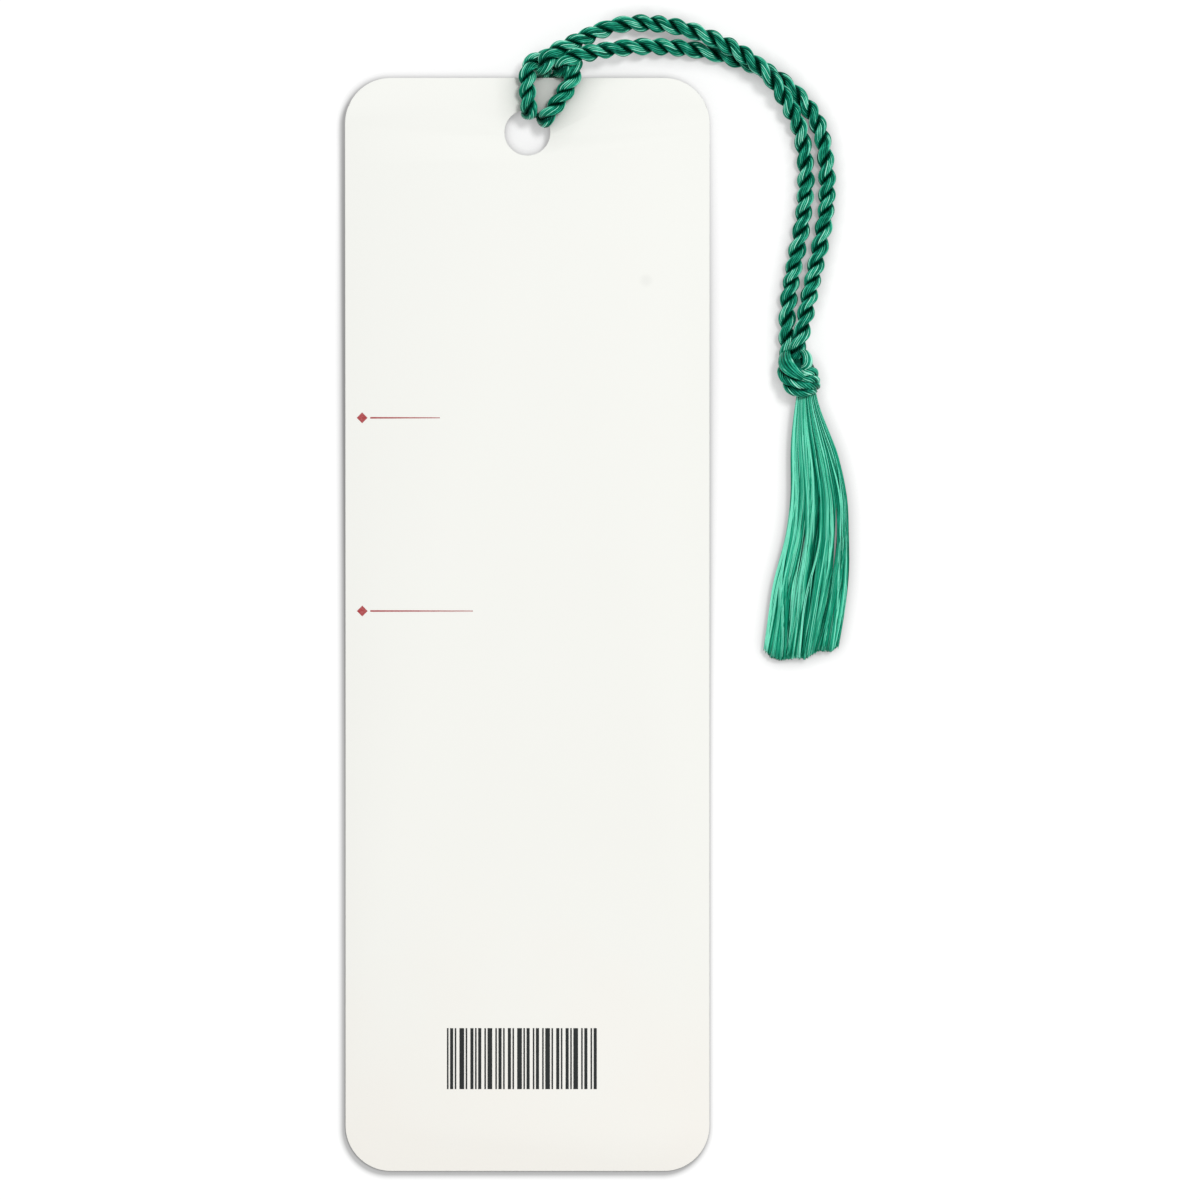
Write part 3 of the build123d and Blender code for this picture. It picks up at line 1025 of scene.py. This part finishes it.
def nearest_ring(place, low=0, high=None):
    """Index of the cord's ring nearest to a place."""
    window = cord_line[low:high]
    return low + int(np.argmin(np.linalg.norm(window - np.array(place), axis=1)))


# The cord is cut into stretches, so that each crosses one joint
bar_ring = nearest_ring(BAR_MIDDLE)
upper_riser = nearest_ring(HITCH_ROUTE[0], 0, bar_ring)
lower_riser = nearest_ring(HITCH_ROUTE[-1], bar_ring)
upper_seam = nearest_ring(UPPER_SEAM, 0, upper_riser)
lower_seam = nearest_ring(LOWER_SEAM, lower_riser)

hitch = rope_piece("hitch_rope", upper_riser, lower_riser)
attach(hitch, "card")
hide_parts("hitch_loop", "hitch_leg_left", "hitch_leg_right")


def arch_piece(side, riser, seam):
    """A standing cord from the hitch to its seam."""
    arch = rope_piece(f"arch_rope_{side}", riser, seam)
    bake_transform(arch)
    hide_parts(f"arch_cord_{side}")


def run_piece(side, seam, end):
    """A standing cord from its seam into the knot."""
    run = rope_piece(f"run_rope_{side}", seam, end)
    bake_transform(run)
    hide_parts(f"run_cord_{side}")
    return run


upper_end = 0
lower_end = len(cord_line) - 1
arch_piece("upper", upper_riser, upper_seam)
upper_run = run_piece("upper", upper_seam, upper_end)
arch_piece("lower", lower_riser, lower_seam)
lower_run = run_piece("lower", lower_seam, lower_end)

# Knot
knot_middle = np.array((*pixel_place(*KNOT_MIDDLE_PIXEL), KNOT_MIDDLE_Z))


def strand_surface(rows, seed, yarns, twist, ply_groove):
    """Rings of one flattened strand of the knot, with grooved yarns, lying on the knot's core."""
    pixels_x, pixels_y, heights, half_widths, half_depths = zip(*rows)
    route = [(*pixel_place(px, py), z) for px, py, z in zip(pixels_x, pixels_y, heights)]
    line = smooth_line(route, RING_SPACING)
    gone = lengths_along(line)
    rank = gone / gone[-1] * (len(rows) - 1)
    half_width = np.interp(rank, range(len(rows)), half_widths)[:, None]
    half_depth = np.interp(rank, range(len(rows)), half_depths)[:, None]
    tangents = unit(np.gradient(line, axis=0))
    outward = line - knot_middle
    outward = unit(outward - (outward * tangents).sum(axis=1, keepdims=True) * tangents)
    across = np.cross(tangents, outward)
    turn, crown, yarn_tone, reach = yarn_profile(yarns, seed)
    angle = turn[None, :] + twist * gone[:, None]
    between_plies = (1 - np.abs(np.sin(turn))) ** 2
    reach = reach * (1 - ply_groove * between_plies)
    depth = half_depth * reach * np.cos(angle)
    width = half_width * reach * np.sin(angle)
    # Painted light and shade of a knot strand, darker still between its plies
    painted_light = smooth_step(np.cos(angle), *KNOT_PAINTED_LIGHT)
    tone = KNOT_TONE + painted_yarn_shade(crown, yarn_tone, painted_light) - PLY_GROOVE_SHADE * ply_groove * between_plies
    return section_places(line, outward, across, depth, width), tone, yarn_grain(turn, gone, seed)


def knot_core():
    """The knot's inside, a lumpy ball that the strands lie on, painted dark as shade."""
    rise = np.linspace(-CORE_END, CORE_END, CORE_RINGS)[:, None]
    turn = np.linspace(0, 2 * math.pi, CORE_SIDES, endpoint=False)[None, :]
    lumps = 1 + CORE_LUMP_HEIGHT * np.sin(CORE_LUMPS[0] * turn + CORE_LUMPS[1] * rise)
    ring = np.sqrt(1 - rise**2) * lumps
    ball = np.stack(np.broadcast_arrays(ring * np.cos(turn), rise, -ring * np.sin(turn)), axis=2)
    places = knot_middle + np.array(CORE_RADII) * ball
    # Its dark tone is painted shade
    return places, np.full((CORE_RINGS, CORE_SIDES), CORE_SHADE_TONE), CORE_GRAIN * places


combed = [
    strand_surface(rows, COMBED_SEED + index, COMBED_YARNS, COMBED_TWIST, 0)
    for index, rows in enumerate(KNOT_COMBED)
]
twisted = [
    strand_surface(rows, TWISTED_SEED + index, TWISTED_YARNS, TWISTED_TWIST, PLY_GROOVE)
    for index, rows in enumerate(KNOT_TWISTED)
]
knot = yarn_piece("knot", [knot_core(), *combed, *twisted], cord_rayon)
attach(knot, "run")
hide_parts("tassel_knot")

# Skirt


@dataclass
class Lock:
    """A lock of the skirt: where it lies across the skirt, and how it differs from its neighbours."""

    middle: float
    half: float
    tone: float
    rise: float
    squeeze: float
    pace: float
    phase: float

    def across(self, share, place):
        """Place across the skirt, all along it, of a fibre at a place from -1 to 1 in the lock."""
        wander = LOCK_WANDER * np.sin(self.pace * share + self.phase)
        wander = wander * smooth_step(share, *LOCK_WANDER_START)
        let_out = 1 - smooth_step(share, *LOCK_SQUEEZE_END)
        drawn_in = self.squeeze * smooth_step(share, *LOCK_SQUEEZE_START) * let_out
        return self.middle + wander + place * self.half * (LOCK_FULLNESS - drawn_in)


skirt_draws = np.random.default_rng(SKIRT_SEED)
locks = [
    Lock(
        middle=(left + right) / 2,
        half=(right - left) / 2,
        tone=skirt_draws.uniform(*LOCK_TONES),
        rise=skirt_draws.uniform(*LOCK_RISES),
        squeeze=skirt_draws.uniform(*LOCK_SQUEEZES),
        pace=skirt_draws.uniform(*LOCK_PACES),
        phase=skirt_draws.uniform(0, 2 * math.pi),
    )
    for left, right in zip(LOCK_EDGES, LOCK_EDGES[1:])
]
rows_y, rows_left, rows_right, rows_middle, rows_half = np.array(SKIRT_SECTIONS).T
share_down = np.linspace(0, 1, SKIRT_RINGS)


def skirt_edge(rows_x):
    """Smooth line along one side of the skirt."""
    return smooth_line([(*pixel_place(px, py), 0) for px, py in zip(rows_x, rows_y)], SKIRT_EDGE_SPACING)


left_edge = skirt_edge(rows_left)
right_edge = skirt_edge(rows_right)


def open_slit(aside, share):
    """Places across the skirt, kept clear of the slit between two locks."""
    reach = SLIT_OPENING * np.exp(-(((share - SLIT_MIDDLE) / SLIT_LENGTH) ** 2))
    if aside.mean() > SLIT_SHARE:
        return np.maximum(aside, SLIT_SHARE + reach)
    return np.minimum(aside, SLIT_SHARE - reach)


def drawn_wave(draws, paces):
    """A wave down the skirt, with a drawn pace and phase, that grows towards its end."""
    pace = draws.uniform(*paces)
    return np.sin(pace * share_down + draws.uniform(*ANY_PHASE)) * share_down


def skirt_wisp(draws):
    """A wisp of fibres in a lock: its places across all along it, its depth, rise and tone."""
    own = int(draws.integers(len(locks)))
    lock = locks[own]
    place = draws.uniform(-1, 1)
    depth = WISP_DEPTH * draws.uniform()
    aside = lock.across(share_down, place)
    stray_start = draws.uniform(*STRAY_STARTS)
    if draws.uniform() < STRAY_SHARE:
        other = locks[int(np.clip(own + draws.choice((-1, 1)), 0, len(locks) - 1))]
        moved = smooth_step(share_down, stray_start, stray_start + STRAY_LENGTH)
        aside = aside + (other.across(share_down, place) - aside) * moved
        depth = STRAY_DEPTH * depth
    aside = aside + WISP_WAVE * drawn_wave(draws, WISP_PACES)
    ridge = LOCK_RIDGE * (LOCK_RIDGE_LEVEL - place**2) + lock.rise
    rise = ridge * smooth_step(share_down, *LOCK_RIDGE_START)
    # Painted light: lighter along the lock's crest, darker on its flanks
    painted_crest = PAINTED_CREST_LIGHT * (CREST_LEVEL - place**2) * smooth_step(share_down, *CREST_START)
    # Painted sheen in bands along the lock, and a tone that is darker towards the skirt's right side near
    # the knot
    painted_sheen_and_side_tone = PAINTED_SHEEN_TONE * np.sin(PAINTED_SHEEN_PACE * lock.pace * share_down + draws.uniform(*ANY_PHASE))
    painted_sheen_and_side_tone -= SIDE_TONE * aside * (1 - share_down)
    contrast = draws.uniform(-WISP_CONTRAST, WISP_CONTRAST)
    # Deeper wisps are darker, as painted shade under the top wisps
    tone = WISP_TONE + lock.tone + contrast + painted_crest + painted_sheen_and_side_tone - DEPTH_SHADE_TONE * depth
    # Painted glints: a few wisps on top, lighter
    if draws.uniform() < PAINTED_GLINT_SHARE:
        depth = 0
        tone = tone + PAINTED_GLINT_TONE
    return aside, depth, rise, tone


def under_fibre(draws):
    """A fibre of the even under layer, painted dark as shade, in the same terms as a wisp."""
    level = np.zeros(SKIRT_RINGS)
    aside = draws.uniform(-UNDER_REACH, UNDER_REACH)
    aside = aside + UNDER_WAVE * np.sin(draws.uniform(*WISP_PACES) * share_down)
    return aside, draws.uniform(*UNDER_DEPTHS), level, draws.uniform(*UNDER_SHADE_TONES) + level


def wisp_fibre(wisp, draws):
    """One fibre of a wisp, a little aside from its middle."""
    aside, depth, rise, tone = wisp
    drift = FLYAWAY_DRIFT if draws.uniform() < FLYAWAY_SHARE else FIBRE_DRIFT
    aside = aside + drift * drawn_wave(draws, DRIFT_PACES)
    aside = aside + draws.normal(0, WISP_SPREAD)
    return aside, depth + draws.uniform(*FIBRE_DEPTHS), rise, tone + draws.uniform(*FIBRE_TONES)


def fibre_line(aside, depth, rise, cut):
    """Middle line of a fibre, from the knot to its cut end."""
    pixel_y = rows_y[0] + (cut - rows_y[0]) * share_down
    y = (ORIGIN_PIXEL[1] - pixel_y) * PIXEL
    left = np.interp(-y, -left_edge[:, 1], left_edge[:, 0])
    right = np.interp(-y, -right_edge[:, 1], right_edge[:, 0])
    x = (left + right) / 2 + (right - left) / 2 * aside
    middle = np.interp(pixel_y, rows_y, rows_middle)
    half = np.interp(pixel_y, rows_y, rows_half)
    chord = np.sqrt(np.clip(1 - (CHORD_SHARE * aside) ** 2, CHORD_LEAST, 1))
    top = middle + (TOP_SHARE * half + rise) * chord
    foot = middle - half * chord
    z = np.maximum(top + (foot - top) * depth, 2 * FIBRE_RADIUS)
    return np.stack([x, y, z], axis=1)


def fibre_surface(fibre, index, draws):
    """Rings of one fibre of the skirt, with their tone and grain."""
    aside, depth, rise, tone = fibre
    aside = np.clip(open_slit(aside, share_down), -FIBRE_REACH, FIBRE_REACH)
    cut = np.interp(aside[-1], *zip(*SKIRT_CUT)) + draws.normal(0, CUT_SPREAD)
    line = fibre_line(aside, depth, rise, cut)
    filled = FIBRE_ROOT_SHARE + (1 - FIBRE_ROOT_SHARE) * smooth_step(share_down, *FIBRE_ROOT_END)
    radius = FIBRE_RADIUS * draws.uniform(*FIBRE_RADIUS_SHARES) * filled
    turn = draws.uniform(*FIBRE_TURNS) + 2 * math.pi * np.arange(FIBRE_SIDES) / FIBRE_SIDES
    level = np.zeros(FIBRE_SIDES)
    ring = np.stack([np.cos(turn), level, np.sin(turn)], axis=1)
    surface = line[:, None] + radius[:, None, None] * ring[None]
    root = ROOT_TONE * (1 - smooth_step(share_down, *ROOT_TONE_END))
    along = FIBRE_GRAIN_ALONG * share_down[:, None]
    grain = np.stack(np.broadcast_arrays(FIBRE_GRAIN_APART * index, along, level[None, :]), axis=2)
    return surface, (tone + root)[:, None], grain


skirt_fibres = [under_fibre(skirt_draws) for _ in range(UNDER_FIBRES)]
for _ in range(WISPS):
    wisp = skirt_wisp(skirt_draws)
    skirt_fibres += [wisp_fibre(wisp, skirt_draws) for _ in range(WISP_FIBRES)]
skirt_tubes = [fibre_surface(fibre, index, skirt_draws) for index, fibre in enumerate(skirt_fibres)]
skirt = yarn_piece("skirt", skirt_tubes, skirt_rayon)
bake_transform(skirt)
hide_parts("skirt_tuft_1", "skirt_tuft_2", "skirt_tuft_3", "skirt_tuft_4")

# Camera, straight above the table
centre_x, centre_y = pixel_place(IMAGE_PIXELS / 2, IMAGE_PIXELS / 2)
camera_data = bpy.data.cameras.new("camera")
camera_data.lens = camera_data.sensor_width * CAMERA_HEIGHT / (IMAGE_PIXELS * PIXEL)
camera_data.clip_end = CAMERA_CLIP_END
camera = bpy.data.objects.new("camera", camera_data)
camera.location = metres((centre_x, centre_y, CAMERA_HEIGHT))
bpy.context.collection.objects.link(camera)
bpy.context.scene.camera = camera

# Floor and light


def shade_by_distance(nodes, links, distance, outline, shades):
    """Tone by distance past an outline, from rows of distance and tone."""
    first = shades[0][0]
    last = shades[-1][0]
    share = share_node(nodes, links, distance, outline + first * MM, outline + last * MM)
    stops = [((past - first) / (last - first), (tone, tone, tone)) for past, tone in shades]
    return ramp_node(nodes, links, share.outputs["Result"], stops)


def edge_shade(nodes, links):
    """Painted shadow on the floor, by its distance from the card's outline, which is moved away from the
    light.
    """
    place = nodes.new("ShaderNodeNewGeometry").outputs["Position"]
    moved = vector_node(nodes, links, "SUBTRACT", place, metres(EDGE_SHIFT))["Vector"]
    apart = vector_node(nodes, links, "ABSOLUTE", moved)["Vector"]
    radius = CORNER_RADIUS * MM
    corner_middle = [growth * MM - low - radius for low, growth in zip(cad_low, EDGE_GROWTH)]
    past = vector_node(nodes, links, "SUBTRACT", apart, (*corner_middle, FLOOR_HALF))["Vector"]
    past = vector_node(nodes, links, "MAXIMUM", past)["Vector"]
    distance = vector_node(nodes, links, "LENGTH", past)["Value"]
    return shade_by_distance(nodes, links, distance, radius, EDGE_SHADES)


def hole_shade(nodes, links):
    """Painted shadow on the floor, by its distance from the hole's edge."""
    place = nodes.new("ShaderNodeNewGeometry").outputs["Position"]
    distance = vector_node(nodes, links, "DISTANCE", place, metres((0, HOLE_Y, -FLOOR_DROP)))["Value"]
    return shade_by_distance(nodes, links, distance, HOLE_RADIUS * MM, HOLE_SHADES)


def floor_paint():
    """Pale paint, a little brighter to the camera, so that it shows white but keeps shadows, with painted
    shadow near the card's outline and hole and near other surfaces.
    """
    material, nodes, links, shader = new_material("floor_paint")
    shade = contact_shade(nodes, links, FLOOR_CONTACT_REACH, FLOOR_CONTACT_SHADE)
    # Painted shadow along the card's outline and hole
    outline = math_node(nodes, links, "MULTIPLY", edge_shade(nodes, links), hole_shade(nodes, links))
    shade = math_node(nodes, links, "MULTIPLY", shade, outline)
    links.new(math_node(nodes, links, "MULTIPLY", shade, FLOOR_GREY), shader.inputs["Base Color"])
    ray = nodes.new("ShaderNodeLightPath").outputs
    seen = math_node(nodes, links, "MAXIMUM", ray["Is Camera Ray"], ray["Is Glossy Ray"])
    seen = math_node(nodes, links, "MAXIMUM", seen, ray["Is Transmission Ray"])
    glow = math_node(nodes, links, "MULTIPLY", shade, FLOOR_GLOW)
    links.new(math_node(nodes, links, "MULTIPLY", seen, glow), shader.inputs["Emission Strength"])
    set_inputs(shader, FLOOR_FINISH)
    return material


def floor_piece():
    """A plain square floor just under the table's level."""
    corners = [(-1, -1), (1, -1), (1, 1), (-1, 1)]
    places = [(x * FLOOR_HALF, y * FLOOR_HALF, -FLOOR_DROP * MM) for x, y in corners]
    mesh = bpy.data.meshes.new("floor")
    mesh.from_pydata(places, [], [(0, 1, 2, 3)])
    return linked("floor", mesh, floor_paint())


def area_light(name, place, target, size, power):
    """A square soft light that faces a point."""
    data = bpy.data.lights.new(name, "AREA")
    data.size = size
    data.energy = power
    light = bpy.data.objects.new(name, data)
    light.location = place
    light.rotation_mode = "QUATERNION"
    light.rotation_quaternion = (Vector(target) - Vector(place)).to_track_quat("-Z", "Y")
    bpy.context.collection.objects.link(light)


floor_piece()
area_light("key", KEY_PLACE, KEY_TARGET, KEY_SIZE, KEY_POWER)

world = bpy.data.worlds.new("studio")
world.use_nodes = True
set_inputs(world.node_tree.nodes["Background"], {"Color": WHITE, "Strength": WORLD_STRENGTH})
bpy.context.scene.world = world
bpy.context.scene.view_settings.view_transform = "Standard"
